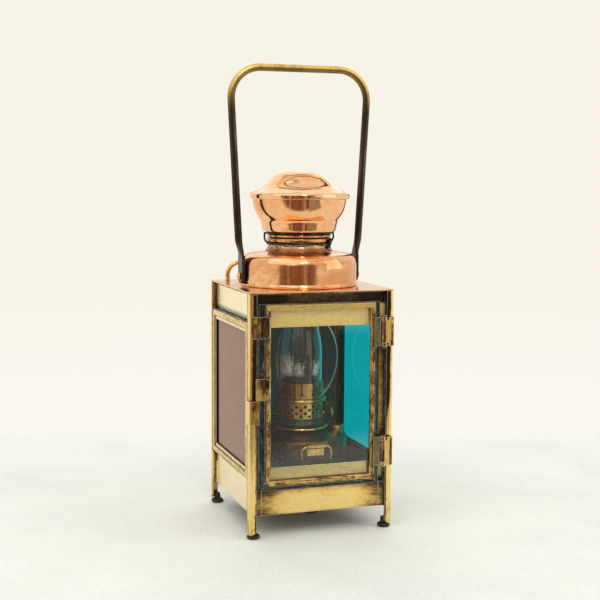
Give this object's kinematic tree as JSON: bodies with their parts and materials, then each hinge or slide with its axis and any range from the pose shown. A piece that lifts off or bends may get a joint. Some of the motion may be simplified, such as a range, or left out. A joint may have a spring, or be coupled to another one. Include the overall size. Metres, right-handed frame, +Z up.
{
  "type": "railroad hand lantern",
  "caption": "Square brass hand lantern with a hinged glass door, coloured side windows, a copper vent head, a tall folding bail and a wick lamp inside.",
  "frame": {"origin": "on the ground at the centre of the part's outline seen from above, which lies on the head's axis in X", "axes": "+Z up along the lantern's height, -Y towards the glass door at the front, +X to the right seen from the front"},
  "size_m": [0.1288, 0.1322, 0.394],
  "materials": {
    "aged_brass": "aged, patinated",
    "pale_brass": "worn polish",
    "dark_brass": "dark patina",
    "soldered_brass": "tinned with solder, patinated",
    "copper": "polished copper",
    "tinned": "tinned sheet",
    "blackened": "sooty",
    "rubber": "matt",
    "cotton": "woven",
    "clear_glass": "clear",
    "red_glass": "ruby, transparent",
    "teal_glass": "blue-green, transparent"
  },
  "bodies": {
    "housing": {"post_front_left": "aged_brass", "post_front_right": "aged_brass", "post_rear_left": "aged_brass", "post_rear_right": "aged_brass", "foot_front_left": "rubber", "foot_front_right": "rubber", "foot_rear_left": "rubber", "foot_rear_right": "rubber", "top_plate": "copper", "floor_panel": "dark_brass", "floor_stud": "dark_brass", "front_surround": "pale_brass", "back_panel": "aged_brass", "left_lower_panel": "pale_brass", "left_upper_panel": "pale_brass", "right_lower_panel": "pale_brass", "right_upper_panel": "pale_brass", "left_window_frame": "pale_brass", "right_window_frame": "pale_brass", "left_window_glass": "red_glass", "right_window_glass": "teal_glass", "vent_drum": "copper", "vent_neck": "copper", "vent_cup": "copper", "draught_tube": "copper", "rain_cap": "copper", "tie_wire": "soldered_brass", "rear_loop": "aged_brass", "bail_rivet_left": "copper", "bail_rivet_right": "copper", "reflector": "tinned", "lamp_tray": "dark_brass", "lamp_font": "tinned", "filler_neck": "aged_brass", "pull_clip": "pale_brass", "burner_collar": "aged_brass", "burner_shell": "pale_brass", "gallery_rest": "pale_brass", "chimney_gallery": "pale_brass", "glass_chimney": "clear_glass", "flame_spreader": "blackened", "wick_tube": "aged_brass", "hinge_bracket_lower": "aged_brass", "hinge_bracket_upper": "aged_brass", "hinge_pin_lower": "dark_brass", "hinge_pin_upper": "dark_brass"},
    "door": {"door_frame": "dark_brass", "door_glass": "clear_glass", "hinge_leaf_lower": "soldered_brass", "hinge_leaf_upper": "soldered_brass", "door_catch": "soldered_brass", "latch_tongue": "soldered_brass"},
    "latch": {"latch_sleeve": "pale_brass"},
    "bail": {"bail": "dark_brass"},
    "wick_drive": {"wick_shaft": "dark_brass", "wick_knob": "aged_brass"},
    "wick": {"wick": "cotton"},
    "filler_cap": {"filler_cap": "pale_brass"},
    "ring_pull": {"ring_pull": "aged_brass"}
  },
  "joints": [
    {"name": "door_hinge", "type": "hinge", "parent": "housing", "child": "door", "pos_m": [0.0537, -0.06325, 0.119], "axis": [0, 0, 1], "range_deg": [0, 110]},
    {"name": "latch_slide", "type": "slide", "parent": "housing", "child": "latch", "axis": [0, 0, 1], "range_m": [0, 0.018]},
    {"name": "bail_pivot", "type": "hinge", "parent": "housing", "child": "bail", "pos_m": [0, 0.00225, 0.2133], "axis": [1, 0, 0], "range_deg": [-92, 92]},
    {"name": "wick_turn", "type": "hinge", "parent": "housing", "child": "wick_drive", "pos_m": [0.02, -0.00765, 0.0925], "axis": [1, 0, 0], "range_deg": [-168, 102]},
    {"name": "wick_raise", "type": "slide", "parent": "housing", "child": "wick", "axis": [0, 0, 1], "range_m": [-0.01, 0.006]},
    {"name": "filler_turn", "type": "hinge", "parent": "housing", "child": "filler_cap", "pos_m": [0.0305, -0.01375, 0.08], "axis": [0, 0, 1], "range_deg": [0, 360]},
    {"name": "ring_swing", "type": "hinge", "parent": "housing", "child": "ring_pull", "pos_m": [0, -0.04605, 0.0715], "axis": [-1, 0, 0], "range_deg": [0, 15]}
  ],
  "couplings": [
    {"joint": "wick_turn", "follows": "wick_raise", "rad_per_m": 285.71}
  ]
}
